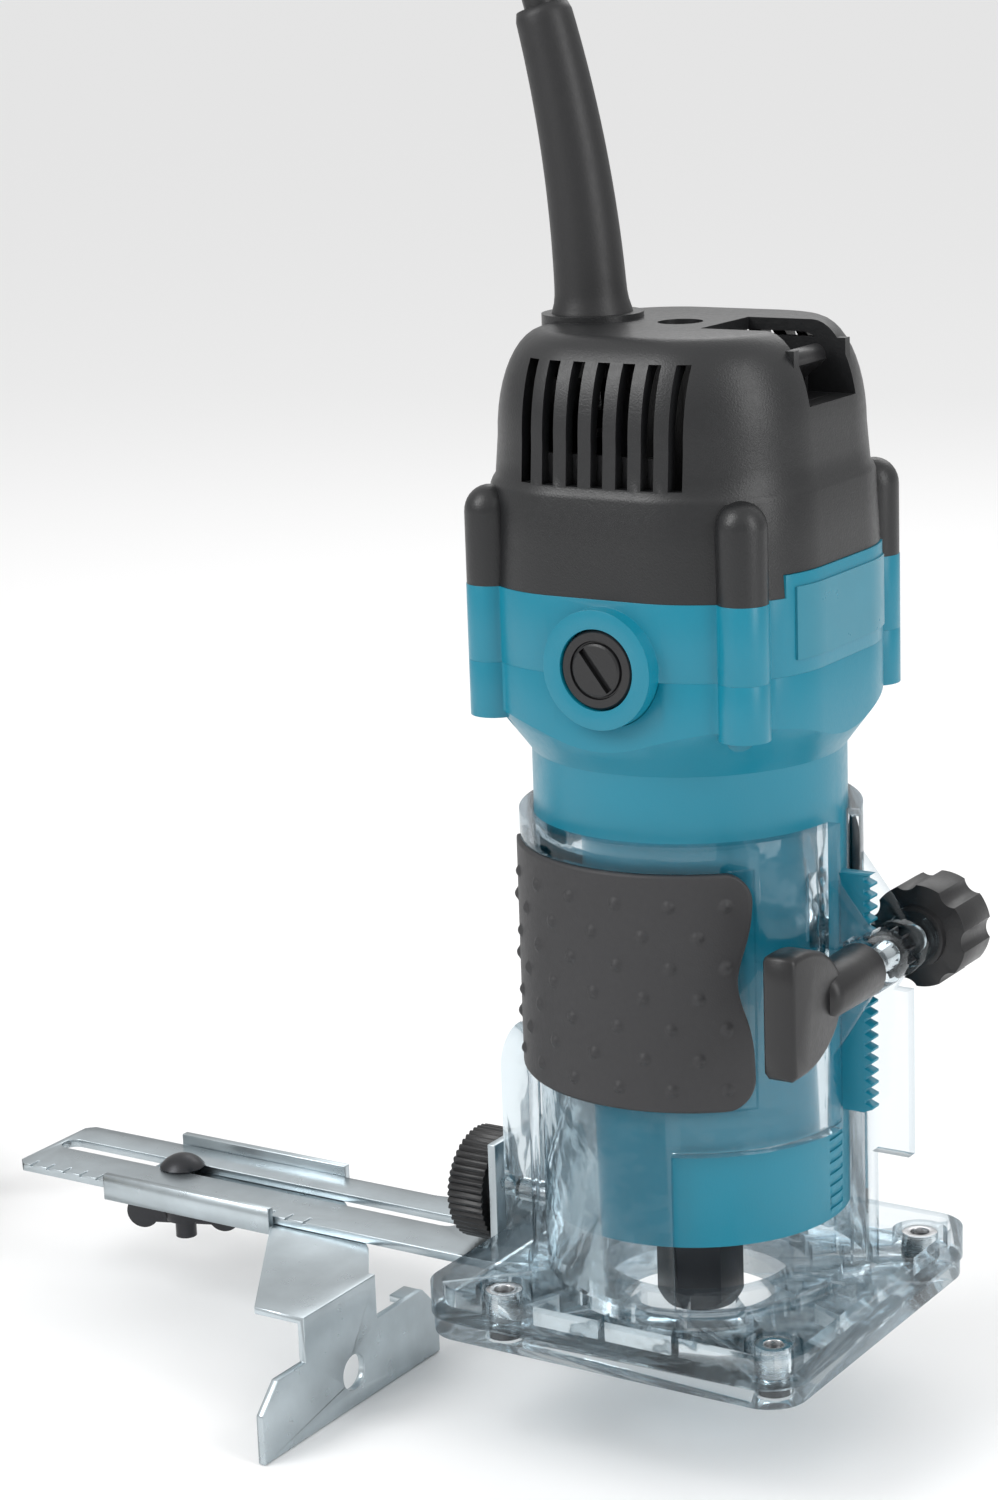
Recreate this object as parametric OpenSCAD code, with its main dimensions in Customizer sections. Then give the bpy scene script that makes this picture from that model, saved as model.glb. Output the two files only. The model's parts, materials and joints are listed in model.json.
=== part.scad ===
// Trim router: a motor unit that slides in a clear plastic base, with a side fence.
// Origin on the spindle axis at the sole, +Z up, front (brush cap side) towards -Y.

/* [Motor unit] */
// Diameter of the lower motor housing
body_d = 65; // [64:0.5:65.4]
// Height of the housing's lower end above the sole
body_low = 25; // [24:0.5:27]
// Height of the top of the cap
cap_top = 210; // [209:0.5:212]
// Half width of the housing's head
head_half = 36.5; // [36:0.25:37]
// Half width of the cap above its skirt
cap_half = 33.5; // [33:0.25:34]
// Wall of the plastic housings
wall = 2.5; // [2:0.25:3]
// Number of vent slots on each side of the cap
vent_count = 7; // [3:2:7]

/* [Spindle] */
// Bore of the collet
collet_bore_d = 6; // [3:0.05:6.35]
// Size of the collet nut across its flats
nut_af = 16; // [15:0.5:17]

/* [Base] */
// Side of the square base
base_size = 88.5; // [88:0.5:90]
// Height of the base plate's upper face
base_top = 10.8; // [10.5:0.1:11]
// Thickness of the sub-base
sub_base_h = 4.3; // [4:0.1:4.5]
// Outer diameter of the clear sleeve
sleeve_d = 71.2; // [71:0.1:71.6]
// Height of the top of the sleeve
sleeve_top = 110.5; // [109:0.5:112]
// Teeth of the depth pinion
pinion_teeth = 11; // [11:1:11]
// Module of the rack and pinion
gear_module = 0.8; // [0.8:0.1:0.8]

/* [Side fence] */
// Length of the guide bar beyond the base
bar_len = 136; // [120:1:140]
// Lowest edge of the fence, below the sole
fence_low = -25; // [-25:1:-25]
// Distance of the fence's plate from the spindle
fence_x = 67; // [60:1:75]

/* [Cord] */
// Diameter of the power cord
cord_d = 7; // [7:0.5:7]
// Inner radius of the stored coil
coil_inner = 28; // [28:1:30]
// Number of layers in the stored coil
coil_layers = 5; // [5:1:5]

/* [Hidden] */
$fn = 64;

tiny = 0.01;
body_r = body_d / 2;
taper_low = 124;             // top of the cylinder, where the housing starts to flare
head_low = 136;              // lower edge of the head
seam_z = 144.5;              // seam between the two teal housings
cap_low = 160;               // seam between the upper housing and the cap
side_low = 164.5;            // the same seam where it steps up on +X
side_half = 21;              // half length of that step
skirt_top = 180;             // top of the cap's wider skirt
head_corner = 26.5;
cap_corner = 25;
dome_r = 14;                 // radius of the cap's shoulder
dome_axis = 23;              // radius at which the shoulder starts
boss_r = 5.2;
boss_at = 28.6;              // screw bosses, along X and Y
brush_x = 2;                 // the brush line leads the spindle's centre a little
brush_z = 146.7;
brush_face = 40;             // outer face of the brush bosses
commutator_r = 12;
vent_pitch = 5.6;
vent_w = 2.6;
pocket = [9.5, -9, 195.5];   // lowest corner of the switch recess
pocket_to_y = 11;
rocker_pivot = [20, 1, 199.3];
guard_base = [-21, 1, 205];
guard_len = 67;
guard_lean = 9.5;            // sideways reach of the guard's tip

sleeve_r = sleeve_d / 2;
sleeve_bore_r = body_r + 0.3;
half_base = base_size / 2;
base_corner = 9;
insert_spots = [[36, -34.5], [36, 33], [-27, -36], [-27, 36]];
window_z = [base_top + 0.7, 45.5];
split_y = [-2, 8.5];         // gap in the sleeve on +X
pinion_r = gear_module * pinion_teeth / 2;
shaft = [43.2, 82.5];        // X and Z of the pinion shaft
rack_x = shaft[0] - pinion_r;
rack_pitch = PI * gear_module;
rack_z = [47.5, 98.5];        // lower and upper end of the rack
ear_gap = [3, 7];            // gap between the clamp's two ears, along Y
ear_r = 5.8;
guide_z = 17.5;              // height of the guide's clamping screw
knob_r = 12.5;
grip_r = 36.4;
grip_in = 34.2;
grip_z = [55, 105];

bar_z = [2.4, 4.4];
bar_y = [-12.5, 15.5];
bar_end = -half_base - 0.05;
slot_y = 3.5;
slot_x = [-178.5, -64];
bolt_x = -142.5;
sheet = 1.7;                 // thickness of the fence's sheet steel
fence_y = [-69, -2];

floor_z = fence_low;
coil_at = [-270, -22];
coil_start = 90;             // angle at which the cord meets the coil
coil_outer = coil_inner + 2 * cord_d;
coil_top = floor_z + coil_layers * cord_d;
tail_sweep = 180;
plug_from = [-270, -57, coil_top + cord_d];
cord_route = [
    [-31, 1, 272], [-34, 1, 282], [-38, 1, 292], [-45, 1, 304], [-56, 2, 316], [-71, 3, 326],
    [-90, 4, 332], [-111, 5, 332], [-133, 6, 327], [-154, 7, 316], [-172, 8, 300], [-187, 9, 279],
    [-199, 10, 251], [-207, 11, 218], [-212, 12, 180], [-215, 13, 140], [-217, 14, 100],
    [-219, 15, 60], [-221, 16, 32], [-225, 16, 8], [-234, 16, -10], [-246, 16, -19],
    [-258, 16, -21.5], [-270, 16.5, -21.5]
];

teal = [0.10, 0.50, 0.58];
black = [0.13, 0.13, 0.14];
steel = [0.70, 0.72, 0.74];
clear = [0.80, 0.88, 0.93, 0.45];
rubber = [0.22, 0.22, 0.23];
copper = [0.72, 0.42, 0.24];
brass = [0.80, 0.65, 0.30];

// ---------- shapes that repeat ----------

// Square with round corners, centred
module rounded_square(half, r) {
    inner = half - r;
    square([2 * half, 2 * inner], center = true);
    square([2 * inner, 2 * half], center = true);
    for (x = [-inner, inner], y = [-inner, inner])
        translate([x, y]) circle(r);
}

// Upright prism with that outline
module rounded_prism(half, r, z0, z1) {
    translate([0, 0, z0]) linear_extrude(z1 - z0) rounded_square(half, r);
}

// Upright disc or tube between two heights
module ring(r_out, r_in, z0, z1) {
    translate([0, 0, z0]) linear_extrude(z1 - z0) difference() {
        circle(r_out);
        if (r_in > 0) circle(r_in);
    }
}

// Cylinder along Y between y0 and y1
module along_y(r, y0, y1, x = 0, z = 0) {
    translate([x, y0, z]) rotate([-90, 0, 0]) cylinder(r = r, h = y1 - y0);
}

// Cylinder along X between x0 and x1
module along_x(r, x0, x1, y = 0, z = 0) {
    translate([x0, y, z]) rotate([0, 90, 0]) cylinder(r = r, h = x1 - x0);
}

// Box between two corners
module box(low, high) {
    translate(low) cube(high - low);
}

// Sector of a tube, from angle a0 to a1
module arc_shell(r_out, r_in, z0, z1, a0, a1) {
    translate([0, 0, z0]) rotate([0, 0, a0]) rotate_extrude(angle = a1 - a0)
        translate([r_in, 0]) square([r_out - r_in, z1 - z0]);
}

module at_bosses() {
    for (x = [-boss_at, boss_at], y = [-boss_at, boss_at]) translate([x, y, 0]) children();
}

// Both sides of the brush line
module both_sides() {
    for (turn = [0, 180]) translate([brush_x, 0, 0]) rotate([0, 0, turn]) children();
}

// Tube swept along points, with one radius for each
function unit(v) = v / norm(v);
function path_tangent(pts, i) = unit(pts[min(i + 1, len(pts) - 1)] - pts[max(i - 1, 0)]);
function path_side(t) = unit(cross(t, abs(t[2]) > 0.95 ? [0, 1, 0] : [0, 0, 1]));
function carried_side(pts, i, last) = let (t = path_tangent(pts, i)) unit(last - t * (last * t));
function sides(pts, i = 0, found = []) =
    i == len(pts) ? found :
    sides(pts, i + 1, concat(found, [i == 0 ? path_side(path_tangent(pts, 0))
                                            : carried_side(pts, i, found[i - 1])]));
module swept(pts, radii, edges) {
    side = sides(pts);
    rings = len(pts);
    points = [for (i = [0 : rings - 1]) let (u = side[i], v = cross(path_tangent(pts, i), u))
              for (k = [0 : edges - 1]) let (a = 360 * k / edges)
              pts[i] + radii[i] * (cos(a) * u + sin(a) * v)];
    walls = [for (i = [0 : rings - 2], k = [0 : edges - 1]) let (n = (k + 1) % edges)
             [i * edges + k, (i + 1) * edges + k, (i + 1) * edges + n, i * edges + n]];
    first = [for (k = [0 : edges - 1]) k];
    last = [for (k = [edges - 1 : -1 : 0]) (rings - 1) * edges + k];
    polyhedron(points = points, faces = concat([first], walls, [last]), convexity = 6);
}

// Smooth curve through points, with a few steps between each pair
function spline_point(a, b, c, d, t) =
    0.5 * (2 * b + (c - a) * t + (2 * a - 5 * b + 4 * c - d) * t * t + (3 * b - a - 3 * c + d) * t * t * t);
function smooth_path(pts, steps) =
    [for (i = [0 : len(pts) - 2], s = [0 : steps - 1])
        spline_point(pts[max(i - 1, 0)], pts[i], pts[i + 1], pts[min(i + 2, len(pts) - 1)], s / steps),
     pts[len(pts) - 1]];

// ---------- motor unit: shells ----------

// Teal wall that rises beside the cap on +X
module side_rise(grow) {
    box([head_half - 9, -side_half - grow, cap_low - tiny], [head_half + 9, side_half + grow, side_low + grow]);
}

module cap_solid(inset) {
    intersection() {
        rounded_prism(cap_half - inset, cap_corner - inset, cap_low, cap_top);
        rotate_extrude() {
            square([dome_axis, cap_top - inset]);
            square([cap_half + 8, cap_top - dome_r]);
            translate([dome_axis, cap_top - dome_r]) circle(dome_r - inset);
        }
    }
}

module vent_slots() {
    first = -(vent_count - 1) / 2;
    for (side = [-1, 1], i = [first : -first])
        translate([i * vent_pitch - vent_w / 2, side < 0 ? -40 : 27, 182]) cube([vent_w, 13, 24.5]);
}

// The two screws of the cord clamp
module at_clamp_screws() {
    for (x = [-6.5, 6.5]) translate([guard_base[0] + x, guard_base[1] + 11, 0]) children();
}

module rear_cover() {
    bearing_seat = [176, 184];
    color(black) difference() {
        union() {
            difference() {
                union() {
                    cap_solid(0);
                    rounded_prism(head_half, head_corner, cap_low, skirt_top);
                    at_bosses() {
                        translate([0, 0, cap_low]) cylinder(r = boss_r, h = 15);
                        translate([0, 0, cap_low + 15]) sphere(r = boss_r);
                    }
                }
                difference() {
                    union() {
                        cap_solid(wall);
                        rounded_prism(head_half - wall, head_corner - wall, cap_low - tiny, skirt_top - wall);
                    }
                    at_bosses() cylinder(r = boss_r, h = skirt_top);
                }
                vent_slots();
            }
            // seat of the upper bearing, hung from the top
            ring(13.5, 11, bearing_seat[0], cap_top - 1);
            ring(13.5, 0, bearing_seat[1], bearing_seat[1] + 2);
            // walls of the switch recess
            intersection() {
                cap_solid(0);
                box(pocket - [2, 2, 4.5], [head_half, pocket_to_y + 2, cap_top]);
            }
            // collar and inner socket of the cord guard, and posts for its clamp
            translate([guard_base[0], guard_base[1], 199]) cylinder(r = 10.5, h = 10.5);
            at_clamp_screws() translate([0, 0, 190]) cylinder(r = 2.4, h = 18.5);
        }
        box(pocket, [head_half + 9, pocket_to_y, cap_top + 5]);
        box([14.2, -6, 190], [29, 8, 200]);
        box([11, -7.6, 193.5], [29, 9.6, 200]);
        translate([guard_base[0], guard_base[1], 190]) cylinder(r = 7.6, h = 30);
        translate([0, 0, 140]) at_bosses() cylinder(r = 1.6, h = 33);
        side_rise(0.1);
        translate([0, 0, 207]) cylinder(r = 3.4, h = 5);
        at_clamp_screws() translate([0, 0, 189]) cylinder(r = 1.3, h = 9);
        translate([guard_base[0], guard_base[1], 185]) cylinder(r = 9.8, h = 13.8);
    }
}

module brush_boss() {
    difference() {
        union() {
            along_y(12, -brush_face, -27, 0, brush_z);
            along_y(8.6, -28, -15, 0, brush_z);
        }
        along_y(8.2, -brush_face - 1, -30, 0, brush_z);
        box([-4.5, -31, brush_z - 5.5], [4.5, -14, brush_z + 5.5]);
    }
}

module upper_housing() {
    color(teal) {
        difference() {
            union() {
                rounded_prism(head_half, head_corner, seam_z, cap_low);
                intersection() {
                    rounded_prism(head_half, head_corner, cap_low - 1, side_low);
                    side_rise(0);
                }
                at_bosses() translate([0, 0, seam_z]) cylinder(r = boss_r, h = cap_low - seam_z);
            }
            difference() {
                rounded_prism(head_half - wall, head_corner - wall, seam_z - tiny, side_low + tiny);
                at_bosses() cylinder(r = boss_r, h = cap_low);
            }
            at_bosses() cylinder(r = 1.7, h = cap_low + 1);
            both_sides() along_y(12, -brush_face - 5, -25, 0, brush_z);
        }
        both_sides() brush_boss();
    }
}

module rack_rail() {
    teeth = 20;
    half_tooth = 0.16 * rack_pitch;
    difference() {
        box([body_r - 1.5, ear_gap[0] + 0.4, rack_z[0]], [rack_x + gear_module * 0.9, ear_gap[1] - 0.4, rack_z[1]]);
        // the gaps between the teeth, one of them centred on the pinion
        for (i = [-teeth : teeth]) translate([rack_x, 0, shaft[1] + i * rack_pitch])
            rotate([-90, 0, 0]) linear_extrude(10) polygon([
                [-gear_module * 1.2, -rack_pitch / 2 + 2.2 * half_tooth],
                [gear_module, -rack_pitch / 2 + 0.5 * half_tooth],
                [gear_module, rack_pitch / 2 - 0.5 * half_tooth],
                [-gear_module * 1.2, rack_pitch / 2 - 2.2 * half_tooth]]);
    }
}

module lower_housing() {
    bore_r = body_r - wall;
    color(teal) difference() {
        union() {
            ring(body_r, 0, body_low, taper_low);
            intersection() {
                rounded_prism(head_half, head_corner, taper_low - 1, head_low);
                rotate_extrude() polygon([[0, taper_low - 1], [body_r, taper_low - 1], [body_r, taper_low],
                                          [head_half + 5, head_low], [0, head_low]]);
            }
            rounded_prism(head_half, head_corner, head_low, seam_z);
            at_bosses() translate([0, 0, head_low - 3]) cylinder(r = boss_r, h = seam_z - head_low + 3);
            rack_rail();
        }
        ring(bore_r, 0, 44, seam_z + 1);
        difference() {
            rounded_prism(head_half - wall, head_corner - wall, head_low + 1, seam_z + 1);
            at_bosses() translate([0, 0, head_low]) cylinder(r = boss_r, h = seam_z);
        }
        ring(14, 0, 26.9, 35);
        ring(9, 0, body_low - 1, 45);
        ring(18, 0, body_low - 1, 27);
        at_bosses() translate([0, 0, 120]) cylinder(r = 1.7, h = 40);
        at_bosses() translate([0, 0, 120]) cylinder(r = 3.7, h = 17);
        both_sides() along_y(12.15, -brush_face - 5, -14, 0, brush_z);
        // air outlets round the lower end
        for (a = [0 : 30 : 330]) rotate([0, 0, a + 15]) box([19, -3, body_low - 1], [27, 3, 46]);
        // shallow grooves that continue the rack below the sleeve's window
        for (i = [0 : 7]) box([body_r - 0.5, -2, 27 + i * rack_pitch], [body_r + 1, 4, 28 + i * rack_pitch]);
    }
}

module housing_screws() {
    color(steel) at_bosses() {
        translate([0, 0, 137]) cylinder(r = 1.6, h = 35);
        translate([0, 0, 133.8]) difference() {
            cylinder(r = 3.5, h = 3.2);
            box([-2.4, -0.4, -1], [2.4, 0.4, 1.2]);
            box([-0.4, -2.4, -1], [0.4, 2.4, 1.2]);
        }
    }
}

module label_plate() {
    color([0.85, 0.86, 0.87]) intersection() {
        difference() {
            rounded_prism(head_half + 0.5, head_corner + 0.5, 147.5, 162);
            rounded_prism(head_half, head_corner, 147, 163);
        }
        box([20, -19, 147], [40, 19, 163]);
    }
}

module brush_caps() {
    color(black) both_sides() difference() {
        union() {
            along_y(8.0, -brush_face + 2.2, -30.2, 0, brush_z);
            along_y(6.2, -brush_face + 1.2, -35, 0, brush_z);
        }
        box([-5, -brush_face - 1, brush_z - 0.7], [5, -brush_face + 3, brush_z + 0.7]);
    }
}

module brush_holders() {
    color(brass) both_sides() difference() {
        box([-4.4, -29.5, brush_z - 5.4], [4.4, -13.4, brush_z + 5.4]);
        box([-3.2, -31, brush_z - 4.2], [3.2, -12, brush_z + 4.2]);
    }
}

module carbon_brushes() {
    color([0.25, 0.25, 0.26]) both_sides()
        box([-3.1, -25, brush_z - 4.1], [3.1, -commutator_r - 0.15, brush_z + 4.1]);
}

module brush_springs() {
    color(steel) both_sides() for (i = [0 : 3])
        translate([0, -29.2 + i * 1.1, brush_z]) rotate([90, 0, 0])
            rotate_extrude() translate([2.3, 0]) circle(r = 0.45, $fn = 16);
}

// ---------- motor unit: inner pieces ----------

module field_core() {
    core = [76, 118];
    color([0.45, 0.46, 0.48]) {
        ring(body_r - wall - 0.05, 24.5, core[0], core[1]);
        intersection() {
            ring(25, 17.4, core[0], core[1]);
            union() for (turn = [0, 180]) rotate([0, 0, turn]) {
                box([15, -13, core[0]], [20, 13, core[1]]);
                box([15, -6, core[0]], [26, 6, core[1]]);
            }
        }
    }
}

module field_coils() {
    color(copper) for (turn = [0, 180]) rotate([0, 0, turn]) difference() {
        box([20.3, -10.5, 70], [22, 10.5, 124]);
        box([19, -6.3, 75.7], [25, 6.3, 118.3]);
    }
}

module baffle_plate() {
    color(black) ring(body_r - wall - 0.1, 20, 62, 63.6);
}

// Ball bearing: outer race, inner race and balls
module ball_bearing(bore_r, outer_r, z0, z1, balls) {
    mid = (bore_r + outer_r) / 2;
    ball_r = (outer_r - bore_r) * 0.27;
    color(steel) difference() {
        union() {
            ring(outer_r, outer_r - 2, z0, z1);
            ring(bore_r + 2, bore_r, z0, z1);
        }
        translate([0, 0, (z0 + z1) / 2]) rotate_extrude() translate([mid, 0]) circle(ball_r + 0.02, $fn = 24);
    }
    color("silver") for (i = [0 : balls - 1]) rotate([0, 0, 360 * i / balls])
        translate([mid, 0, (z0 + z1) / 2]) sphere(ball_r, $fn = 24);
}

module upper_bearing() {
    ball_bearing(4.03, 11, 177, 184, 7);
}

module lower_bearing() {
    ball_bearing(6.03, 14, 27, 35, 8);
}

module bearing_retainer() {
    color(steel) ring(17.9, 9.5, 25.4, 26.9);
}

// ---------- switch ----------

module switch_body() {
    color(black) {
        box([14.2, -6, 174], [29, 8, 195.6]);
        box([11, -7.6, 193.5], [29, 9.6, 195.5]);
        for (y = [[-7.6, -6.3], [8.3, 9.6]]) box([16.5, y[0], 195], [23.5, y[1], 202]);
        along_y(1.2, -7.6, 9.6, rocker_pivot[0], rocker_pivot[2]);
    }
}

module switch_rocker() {
    color([0.18, 0.18, 0.19]) difference() {
        translate([rocker_pivot[0], 8, rocker_pivot[2]]) rotate([90, 0, 0]) {
            cylinder(r = 2.6, h = 14);
            linear_extrude(14)
                polygon([[-9, -0.2], [-9, 1.6], [0, 3.6], [3.5, 5.5], [5, 5.9], [8, 4.6], [8.5, 3.4], [4, -0.4]]);
            translate([6.2, 4.2, 0]) cylinder(r = 2.1, h = 14);
        }
        along_y(1.28, -9, 10, rocker_pivot[0], rocker_pivot[2]);
    }
}

// ---------- cord, guard and plug ----------

function guard_point(t) = guard_base + [-guard_lean * t * t - 0.5 * t, 0, guard_len * t];

module cord_guard() {
    steps = 12;
    color(black) {
        swept([for (i = [0 : steps]) guard_point(i / steps)],
              [for (i = [0 : steps]) 7.4 - 1.9 * i / steps], 24);
        translate([guard_base[0], guard_base[1], 198]) cylinder(r = 7.2, h = 8);
        translate([guard_base[0], guard_base[1], 196]) cylinder(r = 9.5, h = 2.5);
    }
}

module cord_clamp() {
    color(black) difference() {
        translate([guard_base[0] - 8.8, guard_base[1] + 8.3, 186]) cube([18.3, 4.8, 3.8]);
        at_clamp_screws() translate([0, 0, 185]) cylinder(r = 1.3, h = 8);
    }
}

module clamp_screws() {
    color(steel) at_clamp_screws() translate([0, 0, 184]) {
        cylinder(r = 2.4, h = 2);
        translate([0, 0, 1.9]) cylinder(r = 1.2, h = 9);
    }
}

// Tail of the cord, on top of the coil, from its last turn to the plug
function tail_point(a) = let (rise = min(1, a / 60), in = min(1, a / tail_sweep),
                              r = coil_outer - cord_d / 2 - cord_d / 2 * in)
    [coil_at[0] + r * cos(coil_start + a), coil_at[1] + r * sin(coil_start + a),
     coil_top - cord_d / 2 + cord_d * rise * rise * (3 - 2 * rise) + cord_d / 2 * in * in];

module power_cord() {
    path = smooth_path(cord_route, 2);
    tail = [for (a = [0 : 15 : tail_sweep - 15]) tail_point(a)];
    color(black) {
        swept(path, [for (p = path) cord_d / 2], 10);
        swept(concat(tail, [plug_from]), [for (i = [0 : len(tail)]) cord_d / 2], 10);
    }
}

module cord_coil() {
    color(black) translate([coil_at[0], coil_at[1], floor_z]) rotate_extrude()
        translate([coil_inner, 0]) square([coil_outer - coil_inner, coil_top - floor_z]);
}

module plug_body() {
    color(black) translate(plug_from) rotate([0, 90, 0]) {
        cylinder(r = 5.5, h = 12);
        translate([0, 0, 10]) linear_extrude(30) {
            square([14, 16], center = true);
            for (y = [-8, 8]) translate([0, y]) circle(r = 7);
        }
    }
}

module plug_pins() {
    color(brass) for (y = [-9.5, 9.5]) translate(plug_from + [40, y, 0]) rotate([0, 90, 0]) {
        cylinder(r = 2.4, h = 17);
        translate([0, 0, 17]) sphere(r = 2.4);
    }
}

// ---------- rotor ----------

module spindle() {
    color(steel) difference() {
        rotate_extrude() polygon([
            [0, 8], [5.6, 8], [6, 8.6], [6, 60], [5, 61], [5, 160], [4, 161], [4, 184], [0, 184]]);
        // taper and bore behind the collet
        translate([0, 0, 7]) cylinder(r1 = 5, r2 = 3.4, h = 18);
        translate([0, 0, 7]) cylinder(r = 3.3, h = 30);
    }
}

module armature_core() {
    slots = 12;
    color([0.45, 0.46, 0.48]) difference() {
        ring(16.8, 5.05, 77, 117);
        for (i = [0 : slots - 1]) rotate([0, 0, 360 * i / slots]) {
            translate([12.6, 0, 76]) cylinder(r = 1.8, h = 42);
            box([12.6, -0.5, 76], [18, 0.5, 118]);
        }
    }
}

module armature_windings() {
    color(copper) for (z = [[69, 77], [117, 126]]) difference() {
        ring(14.6, 5.6, z[0], z[1]);
        for (i = [0 : 11]) rotate([0, 0, 30 * i + 15]) box([13.6, -0.6, z[0] - 1], [16, 0.6, z[1] + 1]);
    }
}

module commutator() {
    bars = 24;
    color(copper) difference() {
        ring(commutator_r, 5.05, 138, 154);
        for (i = [0 : bars - 1]) rotate([0, 0, 360 * i / bars])
            box([commutator_r - 0.8, -0.25, 137], [commutator_r + 1, 0.25, 155]);
    }
}

module fan() {
    blades = 11;
    color([0.75, 0.75, 0.72]) {
        ring(27.5, 6.05, 58.4, 60);
        ring(9, 6.05, 48, 60);
        for (i = [0 : blades - 1]) rotate([0, 0, 360 * i / blades])
            translate([10, 4, 48]) rotate([0, 0, -22]) cube([16.5, 1.2, 10.6]);
    }
}

module collet_cone() {
    color([0.5, 0.5, 0.52]) difference() {
        rotate_extrude() polygon([
            [0, 0], [4, 0], [4.3, 0.4], [4.3, 1.4], [4.9, 3.2], [4.9, 7.2], [3.25, 25], [0, 25]]);
        translate([0, 0, -1]) cylinder(d = collet_bore_d, h = 27);
        for (a = [0, 90]) rotate([0, 0, a]) box([-6, -0.3, -1], [6, 0.3, 16]);
    }
}

module collet_nut() {
    across = nut_af / cos(30);
    color([0.2, 0.2, 0.21]) difference() {
        intersection() {
            translate([0, 0, 0.6]) rotate([0, 0, 27]) cylinder(d = across, h = 18, $fn = 6);
            rotate_extrude() polygon([
                [0, 0], [nut_af / 2 - 0.8, 0], [across / 2 + 0.4, 3.2], [across / 2 + 0.4, 17],
                [nut_af / 2 - 0.4, 19], [0, 19]]);
        }
        translate([0, 0, 7.3]) cylinder(r = 6.05, h = 12);
        translate([0, 0, 1.35]) cylinder(r = 5, h = 6);
        cylinder(r = 4.35, h = 3);
    }
}

// ---------- base ----------

module ear(y0, y1, from_y) {
    difference() {
        union() {
            along_y(ear_r, y0, y1, shaft[0], shaft[1]);
            // gusset that carries the boss
            translate([0, from_y + 3, 0]) rotate([90, 0, 0]) linear_extrude(3) polygon([
                [sleeve_bore_r + 1, 60], [sleeve_bore_r + 1, 101], [shaft[0] + 1, shaft[1] + ear_r - 0.5],
                [shaft[0] + 1, shaft[1] - ear_r + 0.5]]);
            box([sleeve_r - 2, y0, shaft[1] - 3], [shaft[0], y1, shaft[1] + 3]);
        }
        along_y(3.06, y0 - 1, y1 + 1, shaft[0], shaft[1]);
        ring(sleeve_bore_r, 0, 50, 112);
    }
}

module base_plate() {
    rim = 2.6;
    ribs = 16;
    difference() {
        union() {
            difference() {
                rounded_prism(half_base, base_corner, sub_base_h, base_top);
                rounded_prism(half_base - rim, base_corner - rim, sub_base_h + 2.3, base_top + 1);
            }
            ring(sleeve_r + 1.2, sleeve_bore_r - 2, sub_base_h, base_top);
            ring(24, 19, sub_base_h, base_top);
            intersection() {
                rounded_prism(half_base, base_corner, sub_base_h, base_top);
                for (i = [0 : ribs / 2 - 1]) rotate([0, 0, i * 360 / ribs])
                    box([-60, -0.8, sub_base_h], [60, 0.8, base_top]);
            }
            for (p = insert_spots) translate([p[0], p[1], sub_base_h]) cylinder(r = 6, h = base_top - sub_base_h);
        }
        ring(20, 0, 0, base_top + 1);
        for (p = insert_spots) translate([p[0], p[1], 0]) cylinder(r = 4, h = base_top + 1);
    }
}

module base_shell() {
    color(clear) difference() {
        union() {
            base_plate();
            ring(sleeve_r, sleeve_bore_r, base_top - 1, sleeve_top);
            // post that carries the guide's screw
            difference() {
                union() {
                    box([-half_base + 0.2, -7.9, sub_base_h + 1], [-sleeve_bore_r + 2, 7.9, 48]);
                    along_x(8, -half_base + 0.2, -sleeve_bore_r + 2, 0, 48);
                }
                ring(sleeve_bore_r, 0, 0, 60);
                along_x(2.6, -half_base - 1, -sleeve_bore_r - 1.2, 0, guide_z);
            }
            ear(-7.5, ear_gap[0], -6);
            ear(ear_gap[1], 15.5, 9);
            // flange beside the split, on the rear part of the sleeve
            difference() {
                box([sleeve_bore_r - 2, 9, base_top], [sleeve_r + 9.5, 12, 73]);
                ring(sleeve_bore_r, 0, 0, 80);
                box([sleeve_r + 1, 8, 0], [60, 13, 37]);
            }
        }
        // split on +X, and the window at the front right
        box([26, split_y[0], base_top], [sleeve_r + 0.3, split_y[1], sleeve_top + 1]);
        intersection() {
            ring(sleeve_r + 0.4, sleeve_bore_r - 1, window_z[0], window_z[1]);
            rotate([0, 0, -90]) linear_extrude(60) polygon([
                [0, 0], [60, 22.5], [60, 60], [-1, 60], [-1, 0]]);
        }
        // pockets that hold the grips
        arc_shell(sleeve_r + 1, grip_in, grip_z[0], grip_z[1], -158, -40);
        arc_shell(sleeve_r + 1, grip_in, grip_z[0], grip_z[1], 40, 158);
    }
}

module sub_base() {
    color(clear) difference() {
        rounded_prism(half_base - 0.6, base_corner - 0.6, 0, sub_base_h);
        ring(17, 0, -1, sub_base_h + 1);
        for (p = insert_spots) translate([p[0], p[1], -1]) {
            cylinder(r = 2.2, h = 8);
            cylinder(r = 4.1, h = 3.4);
        }
    }
}

module base_inserts() {
    color(steel) for (p = insert_spots) translate([p[0], p[1], 0]) difference() {
        translate([0, 0, sub_base_h]) cylinder(r = 3.98, h = base_top - sub_base_h - 0.3);
        translate([0, 0, sub_base_h - 1]) cylinder(r = 2.02, h = 20);
    }
}

module base_screws() {
    color([0.3, 0.3, 0.3]) for (p = insert_spots) translate([p[0], p[1], 0]) difference() {
        union() {
            translate([0, 0, 0.4]) cylinder(r = 3.9, h = 2);
            translate([0, 0, 2.3]) cylinder(r = 2, h = 7);
        }
        box([-2.4, -0.5, 0], [2.4, 0.5, 1.3]);
        box([-0.5, -2.4, 0], [0.5, 2.4, 1.3]);
    }
}

module grip(a0, a1) {
    color(rubber) arc_shell(grip_r, grip_in + 0.05, grip_z[0] + 0.1, grip_z[1] - 0.1, a0 + 0.2, a1 - 0.2);
}

module front_grip() {
    grip(-158, -40);
}

module rear_grip() {
    grip(40, 158);
}

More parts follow.
